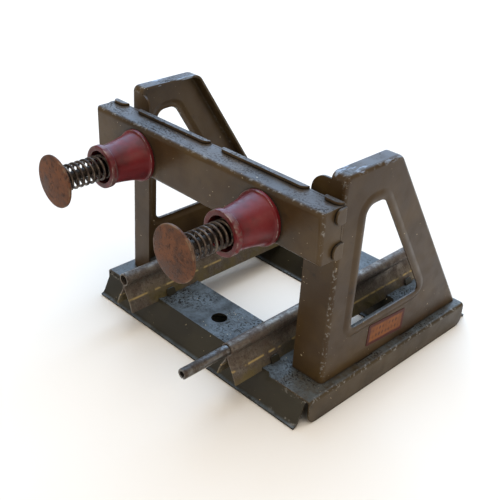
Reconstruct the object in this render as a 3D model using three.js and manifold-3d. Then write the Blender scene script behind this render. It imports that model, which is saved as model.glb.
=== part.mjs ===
// Sprung buffer stop for an O gauge tinplate railway: two sprung buffers on a box-section beam,
// two pressed side frames, two base plates, two sleepers and a short length of track.
// Millimetres, +Z up. The buffers face -Y and the base stands on Z = 0.
import * as THREE from "three";
import { mergeVertices } from "three/addons/utils/BufferGeometryUtils.js";
import Module from "manifold-3d";

const wasm = await Module();
wasm.setup();

// Fineness of the curves
const arcSegments = 3;
const turnedSegments = 28;

// Sheet and fits
const sheet = 0.5; // tinplate of the frames, beam, plates and sleepers
const seatGap = 0.15; // between a folded tab and the sheet that it grips
const slotGap = 0.2; // all round a tab in its slot
const runningGap = 0.08; // rod in its holes, radial

// Track
const gauge = 32;
const railHeadRadius = 1.5;
const railHeadWall = 0.3;
const railHeadHeight = 7.7; // middle of the head above the sleeper
const railSheet = 0.35; // the web is two of these
const railFootWidth = 6; // over the open edges of the flared foot
const railCreaseWidth = 3.8; // over the creases, where the flare turns steeper
const railCreaseHeight = 2.8; // above the sleeper
const railFlareHeight = 5.2; // the web starts this far above the sleeper
const railFrontOverhang = 7.6; // past the flat top of the front sleeper
const railRearOverhang = 3;
const pinReach = 12.1; // out of the rail
const pinDepth = 8; // inside the rail
const pinBore = 0.6; // radius of the rolled pin's hollow
const pinChamfer = 0.25;

// Base
const baseHeight = 6;
const baseFront = 1.4; // behind the front of the beam
const baseLength = 55.8;
const baseEdge = 2.4; // base plate outside the side frame
const basePlateGap = 1.7; // from the rail's foot to the base plate
const flangeCorner = 2.2; // rounded lower corners of the turned-down edge
const sleeperTop = 12.9; // width of the flat top
const sleeperRun = 2.7; // each side leans out by this much
const sleeperLip = 0.7;
const sleeperEndGap = 0.7; // from the sleeper's end to the base plate's edge
const screwHoleRadius = 1.9;
const lugWidth = 2.4; // tongues of the sleeper that lean on the rail's foot
const lugSheet = 0.4;
const lugHeight = 2.1;
const lugOffset = -2.4; // from the middle of the sleeper, towards the end of the track

// Side frames
const frameOffset = 14.5; // outer face outside the middle of the rail
const frameHeight = 47.3;
const frameFront = 6; // front edge behind the front of the base plate
const frameLean = 1.3; // the front edge leans back by this much
const frameTopLength = 17.2;
const frameRearMargin = 0.3; // rear corner ahead of the base plate's rear edge
const frameRadius = 3; // upper rear corner
const frameFrontRadius = 1; // upper front corner
const flangeWidth = 3.65; // along the top and rear
const frontFlangeWidth = { left: 6.3, right: 8.3 }; // each frame was folded by hand
const frontFlangeRadius = 3.4;
const windowSill = 10.7; // above the base plate
const windowCrown = 8; // below the top of the frame
const windowFront = 7.2; // behind the frame's front edge
const windowRearSill = 10.4; // ahead of the frame's sloping rear edge, at the sill
const windowRearHead = 9.4;
const windowSillRadius = 1.4;
const windowHeadRadius = 2.4;
const rimWidth = 2.2; // a bead is pressed out around the window
const rimRise = 0.4;
const footTabWidth = 5;
const footTabPlaces = [0.36, 0.64]; // along the base plate

// Beam
const beamOverhang = 2.2; // past each frame's outer face
const beamDepth = 6.2;
const beamHeight = 11;
const beamDrop = 3.8; // its top below the tops of the frames
const longTabGap = 4; // between the two long tabs
const longTabEnd = 8.8; // from a long tab to the end of the beam
const topTabDepth = 1.6;
const topTabCorner = 1.28;
const endTabWidth = 4.3;
const endTabInset = 0.15; // from the end of the beam
const sideTabWidth = 3.3;
const sideTabCorner = 1.5;
const sideTabDepth = 2.9;
const sideTabPlace = 3.7; // above and below the beam's middle
const frameTabWidth = 3;
const frameTabPlace = 2.6; // above and below the beam's middle
const frameTabInset = 4; // from the frame's outer face to the middle of the tab
const frameTabHook = 1.8;

// Buffers
const bufferSpacing = 37.6;
const bufferDrop = 1.2; // below the middle of the beam
const housingLength = 10.2;
const housingFlangeStep = 0.5; // root flange outside the root
const housingFlange = 0.9;
const housingFillet = 0.5; // between the flange and the root
const housingFlare = 0.35; // the bore widens towards the floor
const housingTaper = 1.05; // root radius over neck radius
const housingLipStep = 0.45; // rolled mouth outside the neck
const housingLip = 1.3;
const housingWall = 0.75;
const housingFloor = 0.6;
const springRoom = 0.6; // round the spring inside the neck
const spigotWall = 1.1; // the spigot is spun over behind the beam's front wall
const spigotFlare = 0.7;
const rodRadius = 1;
const headRadius = 5.6;
const headEdge = 0.6;
const headDome = 0.6;
const headReach = 20.8; // back of the head in front of the beam
const bossWall = 0.8;
const bossLength = 0.7;
const springWire = 0.55;
const springSlack = 0.5; // between the spring and the head's boss
const springTurns = 16;
const washerWidth = 1.3;
const washerSheet = 0.45;
const rivetStep = 0.7; // riveted end outside the rod
const rivetHeight = 0.7;
const rivetCrown = 1; // radius of its flat end
const rodRoom = 0.5; // round the washer where it passes a frame

// Maker's transfer on the right frame
const labelLength = 13;
const labelHeight = 5.4;
const labelFilm = 0.12;
const labelCorner = 0.4;
const labelTilt = -0.075; // radians
const labelRise = 5.2; // middle above the base plate
const labelPlace = 26.8; // middle behind the front of the base plate

// Places that follow from the sizes above
const frameTopZ = baseHeight + frameHeight;
const beamBack = beamDepth - sheet;
const beamTop = frameTopZ - beamDrop;
const beamBottom = beamTop - beamHeight;
const beamMiddle = beamBottom + beamHeight / 2;
const bufferHeight = beamMiddle - bufferDrop;
const baseRear = baseFront + baseLength;
const railX = gauge / 2 + railHeadRadius;
const platesInnerX = railX + railFootWidth / 2 + basePlateGap;
const frameX = railX + frameOffset;
const beamHalf = frameX + beamOverhang;
const baseHalf = frameX + baseEdge;
const sleeperHalf = baseHalf - sheet - sleeperEndGap;
const railFront = baseFront - railFrontOverhang;
const railRear = baseRear + railRearOverhang;
const railHeadZ = baseHeight + railHeadHeight;
const frameFootY = baseFront + frameFront;
const springFront = -headReach + seatGap / 2;
const springRear = -housingFloor - seatGap / 2;
const holeRadius = rodRadius + runningGap;
const spigotRadius = holeRadius + spigotWall;
const bossRadius = rodRadius + bossWall;
const washerRadius = rodRadius + washerWidth;
const rivetRadius = rodRadius + rivetStep;
const springRadius = bossRadius + springSlack + springWire;
const housingNeckRadius = springRadius + springRoom + housingWall;
const housingLipRadius = housingNeckRadius + housingLipStep;
const housingRootRadius = housingNeckRadius + housingTaper;
const housingFlangeRadius = housingRootRadius + housingFlangeStep;
const overallFront = -headReach - headEdge - headDome;
const overallRear = baseRear + sleeperRun + sleeperLip;

const finish = (color, roughness, metalness) =>
  new THREE.MeshStandardMaterial({ color, roughness, metalness });
const darkEnamel = finish(0x3a382c, 0.35, 0.1);
const redEnamel = finish(0x6b2228, 0.4, 0.1);
const tinnedRail = finish(0x5c5248, 0.5, 0.7);
const rustedSteel = finish(0x6a4433, 0.7, 0.5);
const springSteel = finish(0x4a3f38, 0.45, 0.8);
const paleSteel = finish(0x8a857c, 0.4, 0.8);
const transferFilm = finish(0xb5652a, 0.5, 0);

// A closed geometry becomes a solid that can be joined and cut.
function solid(geometry) {
  geometry.deleteAttribute("normal");
  geometry.deleteAttribute("uv");
  const merged = mergeVertices(geometry, 1e-5);
  const corners = [];
  const index = merged.index.array;
  for (let i = 0; i < index.length; i += 3) {
    const [a, b, c] = index.slice(i, i + 3);
    if (a !== b && b !== c && c !== a) corners.push(a, b, c);
  }
  return new wasm.Manifold(
    new wasm.Mesh({
      numProp: 3,
      vertProperties: new Float32Array(merged.attributes.position.array),
      triVerts: new Uint32Array(corners),
    }),
  );
}

function node(name, body, material) {
  const mesh = body.getMesh();
  const geometry = new THREE.BufferGeometry();
  geometry.setAttribute("position", new THREE.BufferAttribute(mesh.vertProperties, 3));
  geometry.setIndex(new THREE.BufferAttribute(mesh.triVerts, 1));
  geometry.computeVertexNormals();
  const part = new THREE.Mesh(geometry, material);
  part.name = name;
  return part;
}

const joined = (first, ...others) => others.reduce((whole, piece) => whole.add(piece), first);
const cut = (first, ...others) => others.reduce((whole, piece) => whole.subtract(piece), first);

// A block between two corners; each span may be given in either order.
function block(...spans) {
  const box = new THREE.BoxGeometry(2, 2, 2);
  const places = box.attributes.position.array;
  places.forEach((sign, i) => {
    places[i] = sign < 0 ? Math.min(...spans[i % 3]) : Math.max(...spans[i % 3]);
  });
  return solid(box);
}

// An outline extruded along X (outline in Y, Z), Y (outline in X, Z) or Z (outline in X, Y).
function prism(axis, outline, ...span) {
  const body = new THREE.ExtrudeGeometry(outline, {
    depth: 1,
    bevelEnabled: false,
    curveSegments: arcSegments,
  });
  const places = body.attributes.position;
  const [low, high] = [Math.min(...span), Math.max(...span)];
  for (let i = 0; i < places.count; i += 1) {
    const [u, v] = [places.getX(i), places.getY(i)];
    const raised = places.getZ(i) > 0.5;
    if (axis === "x") places.setXYZ(i, raised ? high : low, u, v);
    if (axis === "y") places.setXYZ(i, u, raised ? low : high, v);
    if (axis === "z") places.setXYZ(i, u, v, raised ? high : low);
  }
  return solid(body);
}

// A polygon whose corners are rounded, each to its own radius.
function rounded(points, radii) {
  const outline = new THREE.Shape();
  points.forEach((corner, i) => {
    const before = points[(i + points.length - 1) % points.length].clone().sub(corner).normalize();
    const after = points[(i + 1) % points.length].clone().sub(corner).normalize();
    const radius = Array.isArray(radii) ? radii[i] : radii;
    if (radius <= 0) {
      if (i === 0) outline.moveTo(corner.x, corner.y);
      else outline.lineTo(corner.x, corner.y);
      return;
    }
    const half = before.angleTo(after) / 2;
    const start = corner.clone().addScaledVector(before, radius / Math.tan(half));
    const end = corner.clone().addScaledVector(after, radius / Math.tan(half));
    const middle = before.clone().add(after).normalize();
    const centre = corner.clone().addScaledVector(middle, radius / Math.sin(half));
    if (i === 0) outline.moveTo(start.x, start.y);
    else outline.lineTo(start.x, start.y);
    const from = Math.atan2(start.y - centre.y, start.x - centre.x);
    const to = Math.atan2(end.y - centre.y, end.x - centre.x);
    outline.absarc(centre.x, centre.y, radius, from, to, before.cross(after) > 0);
  });
  outline.closePath();
  return outline;
}

const at = (x, y) => new THREE.Vector2(x, y);

// The polygon moved inwards by a distance, edge by edge; its corners run anticlockwise.
function inset(points, distance) {
  const edges = points.map((point, i) => {
    const along = points[(i + 1) % points.length].clone().sub(point).normalize();
    const inward = at(-along.y, along.x).multiplyScalar(distance);
    return { point: point.clone().add(inward), along };
  });
  return edges.map((edge, i) => {
    const last = edges[(i + edges.length - 1) % edges.length];
    const reach = edge.point.clone().sub(last.point).cross(edge.along) / last.along.cross(edge.along);
    return last.point.clone().addScaledVector(last.along, reach);
  });
}

// A profile of radius and Y turned about the line through (x, z).
function turned(profile, x, z) {
  const points = profile.map(([radius, y]) => at(radius, y));
  const rising = THREE.ShapeUtils.area(points) < 0;
  const body = new THREE.LatheGeometry(rising ? points.reverse() : points, turnedSegments);
  return solid(body.translate(x, 0, z));
}

const rod = (x, z, radius, from, to) =>
  turned([[0, from], [radius, from], [radius, to], [0, to], [0, from]], x, z);

const rectangle = (x0, x1, y0, y1) => [at(x0, y0), at(x1, y0), at(x1, y1), at(x0, y1)];

// One folded strip: a rolled head, a doubled web and a foot flared in two slopes, open below.
function rail(x) {
  const foot = at(railFootWidth / 2, baseHeight);
  const crease = at(railCreaseWidth / 2, baseHeight + railCreaseHeight);
  const flareTop = at(railSheet, baseHeight + railFlareHeight);
  const webTop = at(railSheet, railHeadZ);
  const below = foot.clone().lerp(crease, -1);
  const ridge = crease.clone().lerp(flareTop, crease.x / (crease.x - flareTop.x));
  const mirrored = (corners) => corners.map((corner) => at(-corner.x, corner.y)).reverse();
  const placed = (corners) => corners.map((corner) => at(x + corner.x, corner.y));
  const outside = [foot, crease, flareTop, webTop];
  const inside = inset([below, crease, ridge, ...mirrored([below, crease])], railSheet);
  const skin = new THREE.Shape(placed([...outside, ...mirrored(outside)]));
  const tunnel = prism("y", new THREE.Shape(placed(inside)), railFront - 1, railRear + 1);
  const head = rod(x, railHeadZ, railHeadRadius, railFront, railRear);
  const hollow = rod(x, railHeadZ, railHeadRadius - railHeadWall, railFront - 1, railRear + 1);
  return cut(joined(prism("y", skin, railFront, railRear), head), hollow, tunnel);
}

function railPin(x) {
  const radius = railHeadRadius - railHeadWall - runningGap / 2;
  const tip = railFront - pinReach;
  const end = railFront + pinDepth;
  const profile = [
    [pinBore, tip], [radius - pinChamfer, tip], [radius, tip + pinChamfer], [radius, end],
    [pinBore, end], [pinBore, tip],
  ];
  return turned(profile, x, railHeadZ);
}

// Top-hat section across the track. Its ends drop by one sheet to pass under the base plates.
function sleeper(front, direction) {
  const rear = front + sleeperTop;
  const middle = (front + rear) / 2;
  const slope = sleeperRun / (baseHeight - sheet);
  const section = (height) => {
    const shift = (baseHeight - height) * slope;
    const skin = sheet * Math.hypot(1, slope);
    const side = (z, sign, inner) => (sign < 0 ? front : rear) + sign * ((baseHeight - z) * slope - inner);
    return new THREE.Shape([
      at(front - sleeperRun - sleeperLip, 0),
      at(side(sheet, -1, skin), 0),
      at(side(height - sheet, -1, skin), height - sheet),
      at(side(height - sheet, 1, skin), height - sheet),
      at(side(sheet, 1, skin), 0),
      at(rear + sleeperRun + sleeperLip, 0),
      at(rear + sleeperRun + sleeperLip, sheet),
      at(rear + sleeperRun, sheet),
      at(rear + shift, height),
      at(front - shift, height),
      at(front - sleeperRun, sheet),
      at(front - sleeperRun - sleeperLip, sheet),
    ]);
  };
  const step = platesInnerX - slotGap;
  const span = [front - baseLength, rear + baseLength];
  const low = cut(
    prism("x", section(baseHeight - sheet), -sleeperHalf, sleeperHalf),
    block([-step + sheet, step - sheet], span, [-1, baseHeight + 1]),
  );
  const high = prism("x", section(baseHeight), -step, step);
  const lugMiddle = middle + direction * lugOffset;
  const foot = railFootWidth / 2 + slotGap;
  const lean = ((railFootWidth - railCreaseWidth) / 2 / railCreaseHeight) * lugHeight;
  const lugs = [-railX, railX].flatMap((x) =>
    [-1, 1].map((side) => {
      const tongue = [
        at(x + side * foot, baseHeight - sheet),
        at(x + side * (foot + lugSheet), baseHeight - sheet),
        at(x + side * (foot + lugSheet), baseHeight),
        at(x + side * (foot + lugSheet - lean), baseHeight + lugHeight),
        at(x + side * (foot - lean), baseHeight + lugHeight),
        at(x + side * foot, baseHeight),
      ];
      return prism("y", new THREE.Shape(tongue), lugMiddle - lugWidth / 2, lugMiddle + lugWidth / 2);
    }),
  );
  const hole = new THREE.CylinderGeometry(screwHoleRadius, screwHoleRadius, 3 * sheet, turnedSegments);
  hole.rotateX(Math.PI / 2).translate(0, middle, baseHeight);
  return cut(joined(high, low, ...lugs), solid(hole));
}

const footTabs = footTabPlaces.map((share) => baseFront + share * baseLength);

// Flat plate with its outer edge turned down to the ground and slots for the frame's tabs.
function basePlate(side) {
  const across = [side * platesInnerX, side * baseHalf];
  const top = block(across, [baseFront, baseRear], [baseHeight - sheet, baseHeight]);
  const edge = rounded(rectangle(baseFront, baseRear, 0, baseHeight), [flangeCorner, flangeCorner, 0, 0]);
  const flange = prism("x", edge, side * (baseHalf - sheet), side * baseHalf);
  const slots = footTabs.map((y) =>
    block(
      [side * (frameX - sheet - slotGap), side * (frameX + slotGap)],
      [y - footTabWidth / 2 - slotGap, y + footTabWidth / 2 + slotGap],
      [baseHeight - 2 * sheet, baseHeight + sheet],
    ),
  );
  return cut(joined(top, flange), ...slots);
}

// Pressed side frame: a panel with a beaded window and flanges folded inwards.
function sideFrame(side, frontWidth) {
  const corners = [
    at(frameFootY, baseHeight),
    at(baseRear - frameRearMargin, baseHeight),
    at(frameFootY + frameLean + frameTopLength, frameTopZ),
    at(frameFootY + frameLean, frameTopZ),
  ];
  const radii = (less) => [0, 0, frameRadius - less, frameFrontRadius - less];
  const [footFront, footRear, topRear, topFront] = corners;
  const drop = 2 * sheet;
  const deeper = (foot, top) => foot.clone().lerp(top, -drop / frameHeight);
  const hollow = inset([deeper(footFront, topFront), deeper(footRear, topRear), topRear, topFront], sheet);
  const across = (foot, top, rise, shift) => foot.clone().lerp(top, rise / frameHeight).add(at(shift, 0));
  const head = frameHeight - windowCrown;
  const opening = [
    across(footFront, topFront, windowSill, windowFront),
    across(footRear, topRear, windowSill, -windowRearSill),
    across(footRear, topRear, head, -windowRearHead),
    across(footFront, topFront, head, windowFront),
  ];
  const openingRadii = [windowSillRadius, windowSillRadius, windowHeadRadius, windowHeadRadius];
  const around = (width) => rounded(inset(opening, -width), openingRadii.map((radius) => radius + width));
  const bead = prism("x", around(rimWidth), side * (frameX - sheet / 2), side * (frameX + rimRise));
  const inner = frameX - sheet;
  const groove = prism("x", around(rimWidth - sheet), side * (inner - 1), side * (inner + rimRise));
  const window = prism("x", rounded(opening, openingRadii), side * (inner - 1), side * (frameX + 1));

  const panel = prism("x", rounded(corners, radii(0)), side * (frameX - sheet), side * frameX);
  const strip = (width) =>
    cut(
      prism("x", rounded(corners, radii(0)), side * (frameX - width), side * frameX),
      prism("x", rounded(hollow, radii(sheet)), side * (frameX - width - 1), side * (frameX + 1)),
    );
  const fold = rectangle(side * (frameX - frontWidth), side * frameX, baseHeight, frameTopZ);
  const behind = frameFootY + frameLean + sheet;
  const front = strip(frontWidth)
    .intersect(prism("y", rounded(fold, [0, 0, 0, frontFlangeRadius]), frameFootY, behind));
  const tabs = footTabs.flatMap((y) => {
    const width = [y - footTabWidth / 2, y + footTabWidth / 2];
    const under = baseHeight - sheet - seatGap;
    return [
      block([side * (frameX - sheet), side * frameX], width, [under - sheet, baseHeight + sheet]),
      block([side * (frameX - 3 * sheet - 1), side * frameX], width, [under - sheet, under]),
    ];
  });
  const tabX = side * (frameX - frameTabInset);
  const tabSpan = [tabX - frameTabWidth / 2, tabX + frameTabWidth / 2];
  for (const place of [-frameTabPlace, frameTabPlace]) {
    const z = beamMiddle + place;
    const flangeY = frameFootY + (frameLean * (z - baseHeight)) / frameHeight;
    const hook = beamBack - seatGap - sheet;
    tabs.push(block(tabSpan, [hook, flangeY + sheet / 2], [z - sheet / 2, z + sheet / 2]));
    tabs.push(block(tabSpan, [hook, hook + sheet], [z - sheet / 2, z + sheet / 2 + frameTabHook]));
  }
  const skin = joined(cut(joined(panel, bead), groove), strip(flangeWidth), front, ...tabs);
  const rodWay = rod((side * bufferSpacing) / 2, bufferHeight, washerRadius + rodRoom, beamDepth, baseLength);
  return cut(skin, window, rodWay);
}

// Front, top, bottom and ends of the beam in one folded tray, open at the rear.
function beamTray() {
  const half = beamHalf;
  const outside = block([-half, half], [0, beamBack], [beamBottom, beamTop]);
  const height = [beamBottom + sheet, beamTop - sheet];
  const inside = block([-half + sheet, half - sheet], [sheet, beamDepth + 1], height);
  const holes = [-1, 1].map((side) =>
    rod((side * bufferSpacing) / 2, bufferHeight, spigotRadius + slotGap / 2, -1, 2 * sheet),
  );
  return cut(outside, inside, ...holes);
}

// Closing plate of the beam. Its tabs fold forward over the tray's top, bottom and ends.
function beamBackPlate() {
  const half = beamHalf;
  const plate = block([-half, half], [beamBack, beamDepth], [beamBottom, beamTop]);
  const tabs = [];
  const topTab = (side, from, to) => {
    const [x0, x1] = side > 0 ? [from, to] : [-to, -from];
    return rounded(rectangle(x0, x1, beamDepth - topTabDepth, beamDepth), [topTabCorner, topTabCorner, 0, 0]);
  };
  for (const [low, high] of [[beamTop - sheet, beamTop + sheet], [beamBottom - sheet, beamBottom + sheet]]) {
    for (const side of [-1, 1]) {
      const end = half - endTabInset;
      tabs.push(prism("z", topTab(side, longTabGap / 2, half - longTabEnd), low, high));
      tabs.push(prism("z", topTab(side, end - endTabWidth, end), low, high));
    }
  }
  for (const side of [-1, 1]) {
    for (const place of [-sideTabPlace, sideTabPlace]) {
      const outline = rounded(
        rectangle(
          beamDepth - sideTabDepth, beamDepth,
          beamMiddle + place - sideTabWidth / 2, beamMiddle + place + sideTabWidth / 2,
        ),
        [sideTabCorner, 0, 0, sideTabCorner],
      );
      tabs.push(prism("x", outline, side * (half - sheet), side * (half + sheet)));
    }
  }
  const tray = block([-half, half], [-sideTabDepth, beamBack], [beamBottom, beamTop]);
  const cuts = [-1, 1].flatMap((side) => {
    const tabX = side * (frameX - frameTabInset);
    const slots = [-frameTabPlace, frameTabPlace].map((place) =>
      block(
        [tabX - frameTabWidth / 2 - slotGap, tabX + frameTabWidth / 2 + slotGap],
        [beamBack - 1, beamDepth + 1],
        [beamMiddle + place - sheet / 2 - slotGap, beamMiddle + place + sheet / 2 + slotGap],
      ),
    );
    return [...slots, rod((side * bufferSpacing) / 2, bufferHeight, holeRadius, beamBack - 1, beamDepth + 1)];
  });
  return cut(joined(plate, ...tabs), tray, ...cuts);
}

// Turned cup with a rolled mouth; the spigot behind its floor guides the rod.
function bufferHousing(x) {
  const lipMiddle = -housingLength + housingLip / 2;
  const bead = (housingLipRadius - housingNeckRadius) / 2;
  const profile = [
    [holeRadius, sheet + seatGap + spigotFlare],
    [holeRadius, -housingFloor],
    [housingNeckRadius - housingWall + housingFlare, -housingFloor],
    [housingNeckRadius - housingWall, -housingLength + housingLip],
    [housingNeckRadius - housingWall + bead, -housingLength],
    [housingLipRadius - bead, -housingLength],
    [housingLipRadius, lipMiddle - bead / 2],
    [housingLipRadius, lipMiddle + bead / 2],
    [housingNeckRadius, -housingLength + housingLip + bead],
    [housingRootRadius, -housingFlange - housingFillet],
    [(housingRootRadius + housingFlangeRadius) / 2, -housingFlange],
    [housingFlangeRadius, -housingFlange],
    [housingFlangeRadius, 0],
    [spigotRadius, 0],
    [spigotRadius, sheet + seatGap],
    [spigotRadius + spigotFlare, sheet + seatGap],
    [spigotRadius + spigotFlare, sheet + seatGap + spigotFlare / 2],
    [spigotRadius, sheet + seatGap + spigotFlare],
    [holeRadius, sheet + seatGap + spigotFlare],
  ];
  return turned(profile, x, bufferHeight);
}

class Helix extends THREE.Curve {
  constructor(radius, from, to, turns) {
    super();
    Object.assign(this, { radius, from, to, turns });
  }

  getPoint(share, target = new THREE.Vector3()) {
    const angle = share * this.turns * 2 * Math.PI;
    const y = this.from + share * (this.to - this.from);
    return target.set(this.radius * Math.cos(angle), y, this.radius * Math.sin(angle));
  }
}

function bufferSpring(x) {
  const wire = springWire / 2;
  const route = new Helix(springRadius - wire, springFront + wire, springRear - wire, springTurns);
  const section = new THREE.Shape();
  section.absarc(0, 0, wire, 0, 2 * Math.PI);
  const coil = new THREE.ExtrudeGeometry(section, {
    steps: springTurns * 11,
    curveSegments: arcSegments,
    bevelEnabled: false,
    extrudePath: route,
  });
  return solid(coil.translate(x, 0, bufferHeight));
}

// Domed disc with a short boss that takes the rod.
function bufferHead(x) {
  const back = -headReach;
  const profile = [[0, back - headEdge - headDome]];
  const steps = 6;
  for (let i = 1; i <= steps; i += 1) {
    const share = i / steps;
    profile.push([headRadius * share, back - headEdge - headDome * (1 - share * share)]);
  }
  const bore = rodRadius + runningGap / 2;
  profile.push(
    [headRadius, back], [bossRadius, back], [bossRadius, back + bossLength],
    [bore, back + bossLength], [bore, back - headEdge / 2], [0, back - headEdge / 2],
    [0, back - headEdge - headDome],
  );
  return turned(profile, x, bufferHeight);
}

const washerFront = beamDepth + seatGap;
const washerRear = washerFront + washerSheet;

function bufferRod(x) {
  const front = -headReach - headEdge / 2 + runningGap / 2;
  const rivetFront = washerRear + seatGap / 2;
  const profile = [
    [0, front], [rodRadius, front], [rodRadius, rivetFront], [rivetRadius, rivetFront],
    [rivetRadius, rivetFront + rivetHeight / 2], [rivetCrown, rivetFront + rivetHeight],
    [0, rivetFront + rivetHeight], [0, front],
  ];
  return turned(profile, x, bufferHeight);
}

function rodWasher(x) {
  const profile = [
    [holeRadius, washerFront], [washerRadius, washerFront], [washerRadius, washerRear],
    [holeRadius, washerRear], [holeRadius, washerFront],
  ];
  return turned(profile, x, bufferHeight);
}

function makerLabel() {
  const middle = at(baseFront + labelPlace, baseHeight + labelRise);
  const [length, height] = [labelLength / 2, labelHeight / 2];
  const corners = rectangle(-length, length, -height, height)
    .map((corner) => corner.rotateAround(at(0, 0), labelTilt).add(middle));
  return prism("x", rounded(corners, labelCorner), frameX, frameX + labelFilm);
}

const bufferStop = new THREE.Group();
bufferStop.position.y = -(overallFront + overallRear) / 2;

const track = new THREE.Group();
track.add(node("front_sleeper", sleeper(baseFront, 1), darkEnamel));
track.add(node("rear_sleeper", sleeper(baseRear - sleeperTop, -1), darkEnamel));
track.add(node("rail_pin", railPin(railX), tinnedRail));
bufferStop.add(track);

for (const [name, side] of [["left", -1], ["right", 1]]) {
  const bufferX = (side * bufferSpacing) / 2;
  track.add(node(`rail_${name}`, rail(side * railX), tinnedRail));
  bufferStop.add(node(`base_plate_${name}`, basePlate(side), darkEnamel));
  bufferStop.add(node(`side_frame_${name}`, sideFrame(side, frontFlangeWidth[name]), darkEnamel));
  const buffer = new THREE.Group();
  buffer.add(node(`buffer_housing_${name}`, bufferHousing(bufferX), redEnamel));
  buffer.add(node(`buffer_spring_${name}`, bufferSpring(bufferX), springSteel));
  buffer.add(node(`buffer_head_${name}`, bufferHead(bufferX), rustedSteel));
  buffer.add(node(`buffer_rod_${name}`, bufferRod(bufferX), paleSteel));
  buffer.add(node(`rod_washer_${name}`, rodWasher(bufferX), paleSteel));
  bufferStop.add(buffer);
}

bufferStop.add(node("beam_tray", beamTray(), darkEnamel));
bufferStop.add(node("beam_back_plate", beamBackPlate(), darkEnamel));
bufferStop.add(node("maker_label", makerLabel(), transferFilm));

export default bufferStop;
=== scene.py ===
import math

import bmesh
import bpy
from mathutils import Matrix, Vector


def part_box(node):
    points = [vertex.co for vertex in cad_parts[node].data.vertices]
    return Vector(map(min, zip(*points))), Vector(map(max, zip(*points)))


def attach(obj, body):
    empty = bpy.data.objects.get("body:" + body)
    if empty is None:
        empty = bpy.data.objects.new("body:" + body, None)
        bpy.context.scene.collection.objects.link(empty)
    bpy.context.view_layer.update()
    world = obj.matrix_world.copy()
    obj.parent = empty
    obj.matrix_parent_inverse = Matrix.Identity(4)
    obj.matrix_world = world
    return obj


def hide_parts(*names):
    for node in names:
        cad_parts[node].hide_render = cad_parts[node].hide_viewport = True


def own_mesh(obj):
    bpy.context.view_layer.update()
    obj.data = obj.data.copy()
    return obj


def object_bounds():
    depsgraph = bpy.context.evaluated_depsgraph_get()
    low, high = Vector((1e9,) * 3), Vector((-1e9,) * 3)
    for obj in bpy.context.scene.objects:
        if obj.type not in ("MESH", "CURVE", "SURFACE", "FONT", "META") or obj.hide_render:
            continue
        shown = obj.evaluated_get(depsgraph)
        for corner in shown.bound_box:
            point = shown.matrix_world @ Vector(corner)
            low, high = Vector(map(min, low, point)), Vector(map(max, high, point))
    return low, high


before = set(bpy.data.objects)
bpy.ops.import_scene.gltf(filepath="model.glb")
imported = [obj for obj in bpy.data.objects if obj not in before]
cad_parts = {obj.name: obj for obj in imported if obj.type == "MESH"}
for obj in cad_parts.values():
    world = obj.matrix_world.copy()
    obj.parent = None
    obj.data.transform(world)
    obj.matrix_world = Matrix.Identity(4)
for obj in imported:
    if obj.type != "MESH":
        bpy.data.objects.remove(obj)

cadLow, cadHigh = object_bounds()
print("frame loaded:", len(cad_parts), "nodes")

perMetre = 1000  # meshes are shaped in millimetres and brought to metres at the end
sides = {"left": -1, "right": 1}


def nodeBox(name):
    low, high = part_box(name)
    return low * perMetre, high * perMetre


# Camera and light

view = {
    "azimuth": 44.44,
    "elevation": 30.17,
    "roll": 2.7,
    "lens": 59.86,
    "distance": 177.9,
    "aim": (8.2, -10.7, 0.95),  # from the middle of the model, in mm
}


def placeCamera():
    middle = (cadLow + cadHigh) / 2
    target = middle + Vector(view["aim"]) / perMetre
    azimuth, elevation = math.radians(view["azimuth"]), math.radians(view["elevation"])
    back = Vector((
        math.sin(azimuth) * math.cos(elevation),
        -math.cos(azimuth) * math.cos(elevation),
        math.sin(elevation),
    ))
    camera = bpy.data.objects.new("camera", bpy.data.cameras.new("camera"))
    camera.data.lens = view["lens"]
    camera.data.clip_start = 0.01
    turn = back.to_track_quat("Z", "Y").to_matrix() @ Matrix.Rotation(math.radians(view["roll"]), 3, "Z")
    camera.matrix_world = Matrix.Translation(target + back * view["distance"] / perMetre) @ turn.to_4x4()
    bpy.context.scene.collection.objects.link(camera)
    bpy.context.scene.camera = camera


placeCamera()


def linear(colour):
    # sRGB hex to the linear numbers that shaders take
    channels = [int(colour[i:i + 2], 16) / 255 for i in (1, 3, 5)]
    return [c / 12.92 if c <= 0.04045 else ((c + 0.055) / 1.055) ** 2.4 for c in channels] + [1]


studio = {
    "floorColour": "#efe7db",
    "floorSize": 6.0,
    "sky": "#e6dfd4",
    "skyStrength": 0.54,
    "lamps": [
        # name, azimuth, elevation, distance in m, size in m, power in W, colour
        ("backWindow", 214, 40, 1.1, 1.3, 20, "#a9cef8"),
        ("topSoft", 40, 84, 1.2, 1.2, 9, "#eef2f8"),
        ("frontFill", -8, 28, 1.4, 1.0, 5, "#fff0dd"),
        ("sideFill", 96, 26, 1.4, 1.0, 5, "#ffeedb"),
    ],
}


def addNode(tree, kind, inputs=None, **settings):
    # an input is a socket to link, a hex colour or a plain value
    node = tree.nodes.new("ShaderNode" + kind)
    for name, value in settings.items():
        setattr(node, name, value)
    for key, value in (inputs or {}).items():
        if isinstance(value, bpy.types.NodeSocket):
            tree.links.new(value, node.inputs[key])
        else:
            node.inputs[key].default_value = linear(value) if isinstance(value, str) else value
    return node


def newMaterial(name):
    material = bpy.data.materials.new(name)
    material.use_nodes = True
    material.node_tree.nodes.clear()
    return material, material.node_tree


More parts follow.
